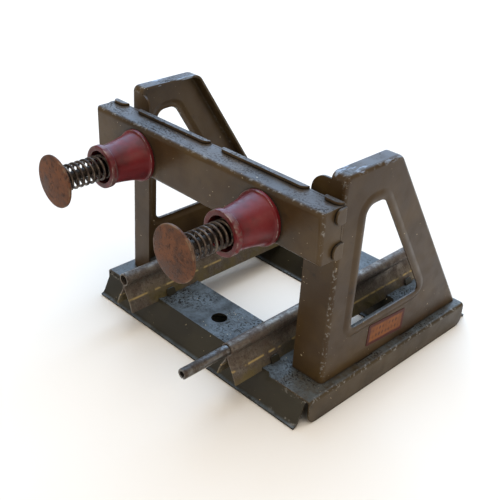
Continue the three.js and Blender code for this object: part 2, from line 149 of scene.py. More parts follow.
def buildStudio():
    bpy.context.scene.view_settings.view_transform = "Standard"
    world = bpy.data.worlds.new("studio")
    world.use_nodes = True
    world.node_tree.nodes["Background"].inputs["Color"].default_value = linear(studio["sky"])
    world.node_tree.nodes["Background"].inputs["Strength"].default_value = studio["skyStrength"]
    bpy.context.scene.world = world

    bm = bmesh.new()
    bmesh.ops.create_grid(bm, x_segments=1, y_segments=1, size=studio["floorSize"] / 2)
    mesh = bpy.data.meshes.new("floor")
    bm.to_mesh(mesh)
    floor = bpy.data.objects.new("floor", mesh)
    floor.location.z = cadLow.z - 0.00005
    bpy.context.scene.collection.objects.link(floor)
    material, tree = newMaterial("paperFloor")
    shader = addNode(tree, "BsdfPrincipled", {
        "Base Color": linear(studio["floorColour"]), "Roughness": 0.9, "Specular IOR Level": 0.1})
    addNode(tree, "OutputMaterial", {"Surface": shader.outputs[0]})
    mesh.materials.append(material)

    middle = (cadLow + cadHigh) / 2
    for name, azimuth, elevation, distance, size, power, colour in studio["lamps"]:
        a, e = math.radians(azimuth), math.radians(elevation)
        away = Vector((math.sin(a) * math.cos(e), -math.cos(a) * math.cos(e), math.sin(e)))
        lamp = bpy.data.lights.new(name, "AREA")
        lamp.size = size
        lamp.energy = power
        lamp.color = linear(colour)[:3]
        thing = bpy.data.objects.new(name, lamp)
        thing.matrix_world = (
            Matrix.Translation(middle + away * distance) @ away.to_track_quat("Z", "Y").to_matrix().to_4x4()
        )
        bpy.context.scene.collection.objects.link(thing)


buildStudio()
print("camera and studio ready")

# Materials

wearLayer = "edgeWear"


def grain(millimetres):
    # noise scale for features of this size, on Object coordinates in metres
    return perMetre / millimetres


def speckle(tree, place, size, low, high, detail=2.0, roughness=0.5):
    # noise of one feature size, cut to a mask that rises from low to high
    noise = addNode(tree, "TexNoise", {
        "Vector": place, "Scale": grain(size), "Detail": detail, "Roughness": roughness})
    mask = addNode(tree, "MapRange", {
        "Value": noise.outputs["Fac"], "From Min": low, "From Max": high}, interpolation_type="SMOOTHSTEP")
    return mask.outputs[0]


def coat(tree, colour, tone, *masks):
    # lays a tone over a colour where all of its masks meet
    where = masks[0]
    for mask in masks[1:]:
        where = addNode(tree, "Math", {0: where, 1: mask}, operation="MULTIPLY").outputs[0]
    return addNode(tree, "Mix", {0: where, 6: colour, 7: tone}, data_type="RGBA").outputs[2]


def finishMaterial(material, inputs, relief=None, depth=0.0):
    # an input given as (mask, low, high) runs with its mask, and a relief is depth millimetres deep
    tree = material.node_tree
    for key, value in inputs.items():
        if isinstance(value, tuple):
            mask, low, high = value
            inputs[key] = addNode(tree, "MapRange", {"Value": mask, "To Min": low, "To Max": high}).outputs[0]
    if relief is not None:
        inputs["Normal"] = addNode(tree, "Bump", {
            "Height": relief, "Strength": 1.0, "Distance": depth / perMetre}).outputs[0]
    shader = addNode(tree, "BsdfPrincipled", inputs)
    addNode(tree, "OutputMaterial", {"Surface": shader.outputs[0]})
    return material


# the grime tone serves for real grime and for painted shade, and the dust tone for dust together with a
# painted sky sheen on upward faces
frameTones = {"dark": "#3b2b17", "olive": "#4a3920", "grimeAndShade": "#1c1812", "dustAndSheen": "#555d63", "dustAndSheenAmount": 0.4}
baseTones = {"dark": "#352a1a", "olive": "#423521", "grimeAndShade": "#1c1812", "dustAndSheen": "#5c6466", "dustAndSheenAmount": 0.9}
sleeperTones = {"dark": "#25221a", "olive": "#2f2b20", "grimeAndShade": "#1a1611", "dustAndSheen": "#636d73", "dustAndSheenAmount": 0.9}

enamel = {
    "tin": "#8f8c86",
    "chip": "#b9a888",
    "glint": "#a9bcd2",
    "crest": (52.2, 52.9),  # the tops of the frames, above the ground
    "roughness": (0.30, 0.44),
    "dirtRoughness": 0.9,
    "specular": 0.25,
    "dirtSize": 0.5,
    "creviceShadeReach": 1.3,  # how far the painted shade spreads out of a corner
    "bufferShadeReach": (10.5, 6.0),  # painted shade round the buffers, from their axes
    "toneSize": 11.0,
    "wearSize": 1.0,
    "chipSize": 0.55,
    "peelSize": 0.9,
    "peelDepth": 0.012,
    "dentSize": 14.0,
    "dentDepth": 0.25,
}


def stovedEnamel(name, tones):
    # Dark olive enamel stoved on tinplate: glossy with a slight orange peel, worn to tin on its bends;
    # painted shade in its crevices and round the buffers, a painted sky sheen with the dust on its tops, and
    # painted glints along the tops of the frames
    material, tree = newMaterial(name)
    e = enamel
    place = addNode(tree, "TexCoord").outputs["Object"]
    rise = addNode(tree, "SeparateXYZ", {0: place}).outputs["Z"]
    normal = addNode(tree, "SeparateXYZ", {0: addNode(tree, "NewGeometry").outputs["Normal"]})
    upward = addNode(tree, "MapRange", {
        "Value": normal.outputs["Z"], "From Min": 0.75, "From Max": 1.0}).outputs[0]
    wear = addNode(tree, "Attribute", attribute_name=wearLayer).outputs["Fac"]
    colour = coat(tree, tones["dark"], tones["olive"], speckle(tree, place, e["toneSize"], 0.35, 0.65, 4))
    colour = coat(tree, colour, tones["grimeAndShade"], speckle(tree, place, 4.0, 0.58, 0.8, 6, 0.7))
    # dust on the upward faces, together with a painted blue-grey sky sheen that lightens the tops
    dustAndSheen = speckle(tree, place, 6.0, 0.3, 0.7, 8, 0.75)
    colour = coat(tree, colour, tones["dustAndSheen"], upward, dustAndSheen, tones["dustAndSheenAmount"])
    patches = speckle(tree, place, 9.0, 0.40, 0.66, 4, 0.6)
    grit = speckle(tree, place, e["dirtSize"], 0.50, 0.58, 3, 0.6)
    dirtAndShade = addNode(tree, "Math", {0: upward, 1: patches}, operation="MULTIPLY").outputs[0]
    dirtAndShade = addNode(tree, "Math", {0: dirtAndShade, 1: grit}, operation="MULTIPLY").outputs[0]
    colour = coat(tree, colour, tones["grimeAndShade"], dirtAndShade)

    # painted shade: the grime tone darkens the faces round each buffer, by distance from its axis
    flat = addNode(tree, "VectorMath", {0: place, 1: (1, 0, 1)}, operation="MULTIPLY").outputs[0]
    far, near = [reach / perMetre for reach in e["bufferShadeReach"]]
    for hand in sides:
        low, high = nodeBox("buffer_housing_" + hand)
        housing = (low + high) / 2 / perMetre
        axis = (housing.x, 0, housing.z)
        gap = addNode(tree, "VectorMath", {0: flat, 1: axis}, operation="DISTANCE").outputs["Value"]
        bufferShade = addNode(tree, "MapRange", {
            "Value": gap, "From Min": far, "From Max": near, "To Max": 0.6}).outputs[0]
        colour = coat(tree, colour, tones["grimeAndShade"], bufferShade, speckle(tree, place, 5.0, 0.3, 0.6, 5))

    # painted shade: the grime tone darkens crevices and corners found by ambient occlusion
    reach = e["creviceShadeReach"] / perMetre
    clear = addNode(tree, "AmbientOcclusion", {"Distance": reach}, samples=8).outputs["AO"]
    creviceShade = addNode(tree, "MapRange", {
        "Value": clear, "From Min": 0.8, "From Max": 0.4, "To Max": 0.85}).outputs[0]
    colour = coat(tree, colour, tones["grimeAndShade"], creviceShade)
    # from here the dirt mask also holds the painted crevice shade, which sets roughness and relief
    dirtAndShade = addNode(tree, "Math", {0: dirtAndShade, 1: creviceShade}, operation="MAXIMUM").outputs[0]

    rubbed = speckle(tree, place, e["wearSize"], 0.53, 0.62, 5, 0.65)
    worn = addNode(tree, "Math", {0: wear, 1: rubbed}, operation="MULTIPLY").outputs[0]
    worn = addNode(tree, "Math", {0: worn, 1: 0.6}, operation="MULTIPLY").outputs[0]
    colour = coat(tree, colour, e["tin"], worn)
    chips = speckle(tree, place, e["chipSize"], 0.74, 0.76, 1)
    colour = coat(tree, colour, e["chip"], chips, speckle(tree, place, 7.0, 0.52, 0.60, 2))
    # painted highlight, partly wear: pale blue glint streaks along the tops of the frames
    low, high = [height / perMetre for height in e["crest"]]
    crest = addNode(tree, "MapRange", {"Value": rise, "From Min": low, "From Max": high}).outputs[0]
    drawn = addNode(tree, "Mapping", {"Vector": place, "Scale": (1.0, 0.3, 1.0)}).outputs[0]
    colour = coat(tree, colour, e["glint"], crest, speckle(tree, drawn, 2.2, 0.55, 0.62, 5, 0.6), 0.5)

    low, high = e["roughness"]
    gloss = speckle(tree, place, 3.0, 0.3, 0.7, 6)
    gloss = addNode(tree, "MapRange", {"Value": gloss, "To Min": low, "To Max": high}).outputs[0]
    rough = addNode(tree, "Mix", {0: dirtAndShade, 2: gloss, 3: e["dirtRoughness"]}).outputs[0]
    peel = addNode(tree, "TexNoise", {
        "Vector": place, "Scale": grain(e["peelSize"]), "Detail": 3.0}).outputs["Fac"]
    dents = addNode(tree, "TexNoise", {
        "Vector": place, "Scale": grain(e["dentSize"]), "Detail": 2.0}).outputs["Fac"]
    soft = addNode(tree, "Bump", {
        "Height": dents, "Strength": 1.0, "Distance": e["dentDepth"] / perMetre}).outputs[0]
    height = addNode(tree, "Math", {0: dirtAndShade, 1: 2.0, 2: peel}, operation="MULTIPLY_ADD").outputs[0]
    fine = addNode(tree, "Bump", {
        "Height": height, "Strength": 1.0, "Distance": e["peelDepth"] / perMetre, "Normal": soft}).outputs[0]
    return finishMaterial(material, {
        "Base Color": colour, "Metallic": worn, "Roughness": rough, "Normal": fine,
        "IOR": 1.5, "Specular IOR Level": e["specular"]})


redPaint = {
    "red": "#641518",
    "deep": "#481113",
    "worn": "#85776f",
    "roughness": (0.3, 0.46),
    "specular": 0.3,
}


def brushedRedEnamel():
    # Red enamel brushed by hand over turned steel: soft gloss, thin at the edges
    material, tree = newMaterial("brushedRedEnamel")
    r = redPaint
    place = addNode(tree, "TexCoord").outputs["Object"]
    wear = addNode(tree, "Attribute", attribute_name=wearLayer).outputs["Fac"]
    thin = speckle(tree, place, 1.3, 0.42, 0.6, 4, 0.6)
    worn = addNode(tree, "Math", {0: wear, 1: thin}, operation="MULTIPLY").outputs[0]
    colour = coat(tree, r["deep"], r["red"], speckle(tree, place, 5.0, 0.35, 0.65, 5, 0.6))
    colour = coat(tree, colour, r["worn"], worn)
    gloss = speckle(tree, place, 1.2, 0.3, 0.7, 6)
    streaks = addNode(tree, "TexNoise", {"Vector": place, "Scale": grain(1.1), "Detail": 4.0}).outputs["Fac"]
    return finishMaterial(material, {
        "Base Color": colour, "Metallic": worn, "Roughness": (gloss, *r["roughness"]),
        "IOR": 1.5, "Specular IOR Level": r["specular"]}, relief=streaks, depth=0.03)


railTin = {
    "tin": "#736b61",
    "rust": "#382b21",
    "brown": "#4b3d32",
    "gold": "#b39a62",
    "olive": "#66592f",
    "goldHeight": (8.55, 9.15),  # of the worn crease and its painted highlight, above the ground
    "roughness": (0.34, 0.62),
}


def rustedTinplate():
    # Bare tinplate of the rails: dull grey where it still shines, brown with rust elsewhere
    material, tree = newMaterial("rustedTinplate")
    r = railTin
    place = addNode(tree, "TexCoord").outputs["Object"]
    rise = addNode(tree, "SeparateXYZ", {0: place}).outputs["Z"]
    rust = speckle(tree, place, 3.2, 0.38, 0.62, 9, 0.75)
    pits = speckle(tree, place, 0.5, 0.5, 0.66, 4, 0.7)
    colour = coat(tree, r["tin"], r["brown"], rust)
    colour = coat(tree, colour, r["rust"], pits, 0.75)
    low, high = [height / perMetre for height in r["goldHeight"]]
    gilt = addNode(tree, "MapRange", {
        "Value": rise, "From Min": high * 1.15, "From Max": high * 0.8}).outputs[0]
    colour = coat(tree, colour, r["olive"], gilt, speckle(tree, place, 5.0, 0.35, 0.65, 5), 0.75)
    # painted highlight along the worn crease at the foot: a pale gold line
    crease = addNode(tree, "MapRange", {
        "Value": rise, "From Min": low, "From Max": high, "To Max": 2.0}).outputs[0]
    crease = addNode(tree, "Math", {0: crease, 1: 1.0}, operation="PINGPONG").outputs[0]
    colour = coat(tree, colour, r["gold"], crease, speckle(tree, place, 3.0, 0.40, 0.52, 5))
    dull = addNode(tree, "Math", {0: rust, 1: pits}, operation="MAXIMUM").outputs[0]
    return finishMaterial(material, {
        "Base Color": colour, "Metallic": (dull, 0.9, 0.25), "Roughness": (dull, *r["roughness"])},
        relief=pits, depth=0.03)


discRust = {
    "brown": "#472c1d",
    "orange": "#6b4530",
    "dark": "#2a1b13",
    "edge": "#86705a",
    "roughness": (0.5, 0.75),
    "specular": 0.2,
}


def rustedSteel():
    # Steel of the buffer heads under an even coat of fine brown rust
    material, tree = newMaterial("brownRustedSteel")
    r = discRust
    place = addNode(tree, "TexCoord").outputs["Object"]
    wear = addNode(tree, "Attribute", attribute_name=wearLayer).outputs["Fac"]
    patches = speckle(tree, place, 3.6, 0.36, 0.64, 8, 0.75)
    pits = speckle(tree, place, 0.8, 0.50, 0.64, 5, 0.7)
    rubbed = speckle(tree, place, 2.0, 0.4, 0.55, 3)
    shine = addNode(tree, "Math", {0: wear, 1: rubbed}, operation="MULTIPLY").outputs[0]
    shine = addNode(tree, "Math", {0: shine, 1: 0.8}, operation="MULTIPLY").outputs[0]
    colour = coat(tree, r["brown"], r["orange"], patches)
    colour = coat(tree, colour, r["dark"], pits, 0.7)
    colour = coat(tree, colour, r["edge"], shine)
    return finishMaterial(material, {
        "Base Color": colour, "Metallic": (shine, 0.1, 0.8), "Specular IOR Level": r["specular"],
        "Roughness": (patches, *r["roughness"])}, relief=pits, depth=0.04)


wireFinish = {"bright": "#6a5e53", "brown": "#2b1f18", "roughness": (0.28, 0.55)}


def springWire():
    # Hard drawn spring wire, bright where the coils rub and brown between
    material, tree = newMaterial("drawnSpringWire")
    w = wireFinish
    place = addNode(tree, "TexCoord").outputs["Object"]
    rust = speckle(tree, place, 1.4, 0.36, 0.6, 5, 0.7)
    return finishMaterial(material, {
        "Base Color": coat(tree, w["bright"], w["brown"], rust),
        "Metallic": (rust, 1.0, 0.6), "Roughness": (rust, *w["roughness"])})


pinFinish = {"steel": "#6f6d6a", "stain": "#453a31", "roughness": (0.28, 0.5)}
rodFinish = {"steel": "#3d362f", "stain": "#241b15", "roughness": (0.35, 0.55)}


def drawnSteel(name, r):
    # Drawn steel with fine lines along its length: bare on the pin, brown with old oil on the rods
    material, tree = newMaterial(name)
    place = addNode(tree, "TexCoord").outputs["Object"]
    stain = speckle(tree, place, 2.0, 0.4, 0.62, 7, 0.7)
    along = addNode(tree, "Mapping", {"Vector": place, "Scale": (1.0, 0.08, 1.0)}).outputs[0]
    lines = addNode(tree, "TexNoise", {"Vector": along, "Scale": grain(0.35), "Detail": 3.0}).outputs["Fac"]
    return finishMaterial(material, {
        "Base Color": coat(tree, r["steel"], r["stain"], stain), "Metallic": (stain, 1.0, 0.7),
        "Roughness": (stain, *r["roughness"])}, relief=lines, depth=0.015)


transfer = {
    "gold": "#80491a",
    "amber": "#6f3d15",
    "border": "#45180f",
    "ink": "#351a0d",
    "uvName": "transfer",
    "rows": 2.0,
    "columns": 9.0,
}


def varnishedTransfer():
    # Water-slide transfer under old varnish: an amber field with a dark border and rows of lozenges
    material, tree = newMaterial("varnishedTransfer")
    t = transfer
    uv = addNode(tree, "UVMap", uv_map=t["uvName"]).outputs[0]
    place = addNode(tree, "TexCoord").outputs["Object"]
    split = addNode(tree, "SeparateXYZ", {0: uv})
    ragged = addNode(tree, "TexNoise", {"Vector": place, "Scale": grain(0.8), "Detail": 4.0}).outputs["Fac"]
    inner = []
    for axis, edge in (("X", 0.07), ("Y", 0.16)):
        offset = addNode(tree, "Math", {0: split.outputs[axis], 1: 0.5}, operation="SUBTRACT").outputs[0]
        span = addNode(tree, "Math", {0: offset}, operation="ABSOLUTE").outputs[0]
        wobble = addNode(tree, "Math", {
            0: ragged, 1: edge * 0.6, 2: span}, operation="MULTIPLY_ADD").outputs[0]
        inner.append(addNode(tree, "MapRange", {
            "Value": wobble, "From Min": 0.5 - edge * 0.35, "From Max": 0.5 - edge * 0.9},
            interpolation_type="SMOOTHSTEP").outputs[0])
    field = addNode(tree, "Math", {0: inner[0], 1: inner[1]}, operation="MULTIPLY").outputs[0]
    lozenges = []
    for axis, count in (("X", t["columns"]), ("Y", t["rows"])):
        spread = addNode(tree, "MapRange", {
            "Value": split.outputs[axis], "From Min": 0.1 if axis == "X" else 0.2,
            "From Max": 0.9 if axis == "X" else 0.8, "To Max": count}, clamp=False).outputs[0]
        cell = addNode(tree, "Math", {0: spread, 1: 1.0}, operation="PINGPONG").outputs[0]
        lozenges.append(addNode(tree, "Math", {0: cell, 1: 0.5}, operation="SUBTRACT").outputs[0])
    gaps = [addNode(tree, "Math", {0: cell}, operation="ABSOLUTE").outputs[0] for cell in lozenges]
    total = addNode(tree, "Math", {0: gaps[0], 1: gaps[1]}, operation="ADD").outputs[0]
    marks = addNode(tree, "MapRange", {"Value": total, "From Min": 0.42, "From Max": 0.30}).outputs[0]
    colour = coat(tree, t["gold"], t["amber"], speckle(tree, place, 2.5, 0.35, 0.65, 5))
    colour = coat(tree, colour, t["ink"], marks, field, speckle(tree, place, 1.2, 0.3, 0.6, 3), 0.75)
    colour = coat(tree, t["border"], colour, field)
    return finishMaterial(material, {
        "Base Color": colour, "Roughness": 0.45, "IOR": 1.5, "Specular IOR Level": 0.2})


finishes = {
    "dark_enamel": stovedEnamel("stovedOliveEnamel", frameTones),
    # the base plates carry more of the dust and painted sky sheen on their tops
    "dusty_sheened_enamel": stovedEnamel("dustySheenedOliveEnamel", baseTones),
    # the sleepers get a darker enamel than the frames
    "darker_sleeper_enamel": stovedEnamel("darkerSleeperOliveEnamel", sleeperTones),
    "red_enamel": brushedRedEnamel(),
    "tinned_rail": rustedTinplate(),
    "rusted_steel": rustedSteel(),
    "spring_steel": springWire(),
    "pale_steel": drawnSteel("drawnSteel", pinFinish),
    "oiled_steel": drawnSteel("oiledDrawnSteel", rodFinish),
    "transfer_film": varnishedTransfer(),
}
print("materials ready:", len(finishes))

# Shaping


def bevel(bm, edges, offset, segments):
    bmesh.ops.bevel(
        bm, geom=edges, offset=offset, offset_type="OFFSET", affect="EDGES",
        segments=segments, profile=0.5, material=-1, clamp_overlap=True,
    )


def roundCorner(bm, vert, radius, segments=5):
    # a corner of a flat sheet becomes an arc that touches both of its edges
    first, second = [edge.other_vert(vert).co - vert.co for edge in vert.link_edges]
    reach = radius / math.tan(first.angle(second) / 2)
    bmesh.ops.bevel(
        bm, geom=[vert], offset=reach, offset_type="ABSOLUTE", affect="VERTICES",
        segments=segments, profile=0.5, material=-1, clamp_overlap=True,
    )


def foldOut(bm, edges, *moves):
    # extrudes the edges along one move after another; gives the last edges and their corners
    for move in moves:
        made = bmesh.ops.extrude_edge_only(bm, edges=edges)["geom"]
        verts = [item for item in made if isinstance(item, bmesh.types.BMVert)]
        bmesh.ops.translate(bm, verts=verts, vec=move)
        fresh = set(verts)
        edges = [item for item in made if isinstance(item, bmesh.types.BMEdge) and set(item.verts) <= fresh]
    return edges, verts


def fillAround(bm, plate, holes):
    # fills a flat face again, around the faces that lie in it
    edges = [edge for face in (plate, *holes) for edge in face.edges]
    bmesh.ops.delete(bm, geom=[plate], context="FACES_ONLY")
    bmesh.ops.triangle_fill(bm, use_beauty=True, use_dissolve=False, edges=edges)


def thicken(bm, sheet, rim, inside):
    # the skin is the outer side of the sheet; it grows inwards, and its cut edges are eased
    bmesh.ops.recalc_face_normals(bm, faces=bm.faces)
    facing = sum(face.calc_area() * face.normal.dot(face.calc_center_median() - inside) for face in bm.faces)
    if facing < 0:
        bmesh.ops.reverse_faces(bm, faces=bm.faces)
    bmesh.ops.solidify(bm, geom=bm.faces, thickness=sheet)
    bmesh.ops.recalc_face_normals(bm, faces=bm.faces)
    easeEdges(bm, 55, rim, 2)


def easeEdges(bm, degrees, offset, segments):
    sharp = [
        edge for edge in bm.edges
        if edge.is_manifold and abs(edge.calc_face_angle()) > math.radians(degrees)
    ]
    bevel(bm, sharp, offset, segments)


def turned(profile, x, z, steps=72):
    # a profile of (radius, y) points, turned about the line through x and z
    bm = bmesh.new()
    verts = [bm.verts.new((x + radius, y, z)) for radius, y in profile]
    edges = [bm.edges.new(pair) for pair in zip(verts, verts[1:])]
    if profile[0][0] > 0.001:
        edges.append(bm.edges.new((verts[-1], verts[0])))
    bmesh.ops.spin(
        bm, geom=verts + edges, cent=(x, 0, z), axis=(0, 1, 0), angle=2 * math.pi, steps=steps,
        use_merge=True)
    bmesh.ops.remove_doubles(bm, verts=bm.verts, dist=0.001)
    bmesh.ops.recalc_face_normals(bm, faces=bm.faces)
    return bm


narrow = 0.5  # faces narrower than this belong to a bend or an eased edge


def markWear(bm):
    # gives each corner of a bend or an eased edge its share of wear
    bmesh.ops.dissolve_degenerate(bm, dist=0.002, edges=bm.edges)
    layer = bm.verts.layers.float.new(wearLayer)
    bm.normal_update()
    for vert in bm.verts:
        strips = [face for face in vert.link_faces if len(face.verts) == 4]
        widths = [face.calc_area() / max(edge.calc_length() for edge in face.edges) for face in strips]
        if len(strips) < len(vert.link_faces) or max(widths) > narrow:
            continue
        turn = sum(edge.calc_face_angle_signed(0) for edge in vert.link_edges)
        vert[layer] = min(max((turn - 0.45) / 0.6, 0), 1)


def finishPiece(name, body, slot, nodes, shapes, finish=None, worn=True):
    mesh = bpy.data.meshes.new(name)
    whole = bmesh.new()
    for bm in shapes:
        if worn:
            markWear(bm)
        bm.to_mesh(mesh)
        bm.free()
        whole.from_mesh(mesh)
    bmesh.ops.scale(whole, vec=(1 / perMetre,) * 3, verts=whole.verts)
    for face in whole.faces:
        face.smooth = True
    whole.to_mesh(mesh)
    whole.free()
    mesh.set_sharp_from_angle(angle=math.radians(48))
    piece = bpy.data.objects.new(name, mesh)
    bpy.context.scene.collection.objects.link(piece)
    mesh.materials.append(finishes[finish or slot])
    even = piece.modifiers.new("evenShading", "WEIGHTED_NORMAL")
    even.keep_sharp = True
    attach(piece, body)
    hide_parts(*nodes)
    print(name, len(mesh.polygons), "faces")
    return piece


# Side frames

frameSheet = {
    "sheet": 0.5,
    "bend": 0.95,
    "rim": 0.1,
    "frontSetback": 6.0,  # behind the front of the base plate
    "lean": 1.3,
    "topLength": 17.2,
    "rearMargin": 0.3,
    "rearRadius": 3.0,
    "frontRadius": 1.5,
    "flange": 3.65,
    "flangeRadius": 3.4,
    "windowSill": 8.3,  # the window is measured to the outside of the bead around it
    "windowCrown": 5.6,
    "windowFront": 4.8,
    "windowRearSill": 8.0,
    "windowRearHead": 7.0,
    "sillRadius": 3.8,
    "headRadius": 4.8,
    "beadWidth": 2.4,
    "beadRise": 0.4,
    "beadSteps": 8,
    "footTabs": (0.36, 0.64),  # along the base plate
    "footTabWidth": 5.0,
    "footTabDrop": 1.15,
    "footTabFold": 2.5,
    "beamTabWidth": 3.0,
    "beamTabInset": 4.0,
    "beamTabPlace": 2.6,
    "beamTabHook": 1.8,
}


def buildSideFrame(hand):
    s, side = frameSheet, sides[hand]
    low, high = nodeBox("side_frame_" + hand)
    baseLow, baseHigh = nodeBox("base_plate_" + hand)
    outer = high.x - s["beadRise"] if side > 0 else low.x + s["beadRise"]
    foot, top = baseHigh.z, high.z
    height = top - foot
    footFront = Vector((outer, baseLow.y + s["frontSetback"], foot))
    footRear = Vector((outer, baseHigh.y - s["rearMargin"], foot))
    topFront = Vector((outer, footFront.y + s["lean"], top))
    topRear = topFront + Vector((0, s["topLength"], 0))
    tabEnds = []
    for share in s["footTabs"]:
        middle = baseLow.y + share * (baseHigh.y - baseLow.y)
        tabEnds += [Vector((outer, middle + sign * s["footTabWidth"] / 2, foot)) for sign in (-1, 1)]

    bm = bmesh.new()
    outline = [bm.verts.new(point) for point in (footFront, *tabEnds, footRear, topRear, topFront)]
    panel = bm.faces.new(outline)
    roundCorner(bm, outline[-2], s["rearRadius"], 8)
    roundCorner(bm, outline[-1], s["frontRadius"], 6)
    border = [edge for edge in bm.edges if max(vert.co.z for vert in edge.verts) > foot + 0.01]
    flange, _ = foldOut(bm, border, (-side * s["flange"], 0, 0))
    frontFold = max(flange, key=lambda edge: -sum(vert.co.y for vert in edge.verts) + edge.calc_length())
    _, tip = foldOut(bm, [frontFold], (-side * (high.x - low.x - s["beadRise"] - s["flange"]), 0, 0))
    roundCorner(bm, max(tip, key=lambda vert: vert.co.z), s["flangeRadius"], 8)
    bevel(bm, border, s["bend"], 5)

    panel = max(bm.faces, key=lambda face: face.calc_area())
    tabEdges = [
        edge for edge in panel.edges
        if abs(edge.calc_length() - s["footTabWidth"]) < 0.01
        and max(v.co.z for v in edge.verts) < foot + 0.01
    ]
    across = lambda start, end, rise, shift: start.lerp(end, rise / height) + Vector((0, shift, 0))
    crown = height - s["windowCrown"]
    corners = [
        bm.verts.new(across(footFront, topFront, s["windowSill"], s["windowFront"])),
        bm.verts.new(across(footRear, topRear, s["windowSill"], -s["windowRearSill"])),
        bm.verts.new(across(footRear, topRear, crown, -s["windowRearHead"])),
        bm.verts.new(across(footFront, topFront, crown, s["windowFront"])),
    ]
    bm.faces.new(corners)
    for corner, radius in zip(corners, [s["sillRadius"]] * 2 + [s["headRadius"]] * 2):
        roundCorner(bm, corner, radius, 8)
    window = min(
        (face for face in bm.faces if len(face.verts) > 20 and face is not panel),
        key=lambda face: face.calc_area(),
    )
    fillAround(bm, panel, [window])
    window.normal_update()
    outwards = 1 if window.normal.x * side > 0 else -1
    rises = [
        s["beadRise"] * math.sin(0.8 * math.pi * i / s["beadSteps"]) ** 1.4
        for i in range(s["beadSteps"] + 1)
    ]
    for before, after in zip(rises, rises[1:]):
        bmesh.ops.inset_region(
            bm, faces=[window], use_even_offset=True,
            thickness=s["beadWidth"] / s["beadSteps"], depth=outwards * (after - before))
    bmesh.ops.delete(bm, geom=[window], context="FACES")
    folds = []
    for edge in tabEdges:
        under, _ = foldOut(bm, [edge], (0, 0, -s["footTabDrop"]))
        folds += under
        foldOut(bm, under, (-side * s["footTabFold"], 0, 0))
    bevel(bm, folds, s["sheet"], 3)
    inside = Vector((outer - side * 20, footFront.y + 15, (foot + top) / 2))
    thicken(bm, s["sheet"], s["rim"], inside)

    trayLow, trayHigh = nodeBox("beam_tray")
    shapes = [bm]
    for place in (-s["beamTabPlace"], s["beamTabPlace"]):
        z = (trayLow.z + trayHigh.z) / 2 + place + s["sheet"] / 2
        x = outer - side * s["beamTabInset"]
        rear = footFront.y + s["lean"] * (z - foot) / height + s["sheet"] / 2
        strip = bmesh.new()
        ends = [strip.verts.new((x + sign * s["beamTabWidth"] / 2, rear, z)) for sign in (-1, 1)]
        edge = strip.edges.new(ends)
        root, _ = foldOut(strip, [edge], (0, low.y - rear, 0))
        foldOut(strip, root, (0, 0, s["beamTabHook"]))
        thicken(strip, s["sheet"], s["rim"], Vector((x, rear + 5, z + 5)))
        shapes.append(strip)
    return finishPiece("sideFrame_" + hand, "stop_body", "dark_enamel", ["side_frame_" + hand], shapes)


for hand in sides:
    buildSideFrame(hand)

# Base plates

plateSheet = {"sheet": 0.5, "bend": 0.9, "rim": 0.1, "cornerRadius": 2.2, "slotGap": 0.2}


def buildBasePlate(hand):
    s, side = plateSheet, sides[hand]
    low, high = nodeBox("base_plate_" + hand)
    outer, inner = (high.x, low.x) if side > 0 else (low.x, high.x)
    bm = bmesh.new()
    corners = [(inner, low.y), (outer, low.y), (outer, high.y), (inner, high.y)]
    verts = [bm.verts.new((x, y, high.z)) for x, y in corners]
    bm.faces.new(verts)
    bend = bm.edges.get(verts[1:3])
    _, lower = foldOut(bm, [bend], (0, 0, low.z - high.z))
    for vert in lower:
        roundCorner(bm, vert, s["cornerRadius"], 7)
    bevel(bm, [bend], s["bend"], 5)
    top = max(bm.faces, key=lambda face: face.calc_area() * (face.calc_center_median().z > high.z - 0.1))
    frameX = max(abs(corner.x) for corner in nodeBox("side_frame_" + hand)) - frameSheet["beadRise"]
    holes = []
    for share in frameSheet["footTabs"]:
        middle = low.y + share * (high.y - low.y)
        reach = frameSheet["footTabWidth"] / 2 + s["slotGap"]
        across = [side * (frameX - frameSheet["sheet"] - s["slotGap"]), side * (frameX + s["slotGap"])]
        ring = [(x, middle + y, high.z) for x, y in (
            (across[0], -reach), (across[1], -reach), (across[1], reach), (across[0], reach))]
        holes.append(bm.faces.new([bm.verts.new(point) for point in ring]))
    fillAround(bm, top, holes)
    bmesh.ops.delete(bm, geom=holes, context="FACES_ONLY")
    thicken(bm, s["sheet"], s["rim"], Vector((inner, (low.y + high.y) / 2, low.z - 10)))
    return finishPiece(
        "basePlate_" + hand, "stop_body", "dark_enamel", ["base_plate_" + hand], [bm], "dusty_sheened_enamel")


for hand in sides:
    buildBasePlate(hand)

# Sleepers

sleeperSheet = {
    "sheet": 0.5,
    "bend": 0.75,
    "rim": 0.1,
    "run": 2.7,
    "lip": 0.7,
    "holeRadius": 1.9,
    "plateGap": 0.2,  # the raised middle ends this far from the base plates
    "lugWidth": 2.4,
    "lugSheet": 0.4,
    "lugGap": 0.2,
    "lugHeight": 2.1,
    "lugOffset": 2.4,  # from the middle of the sleeper, towards the end of the track
}


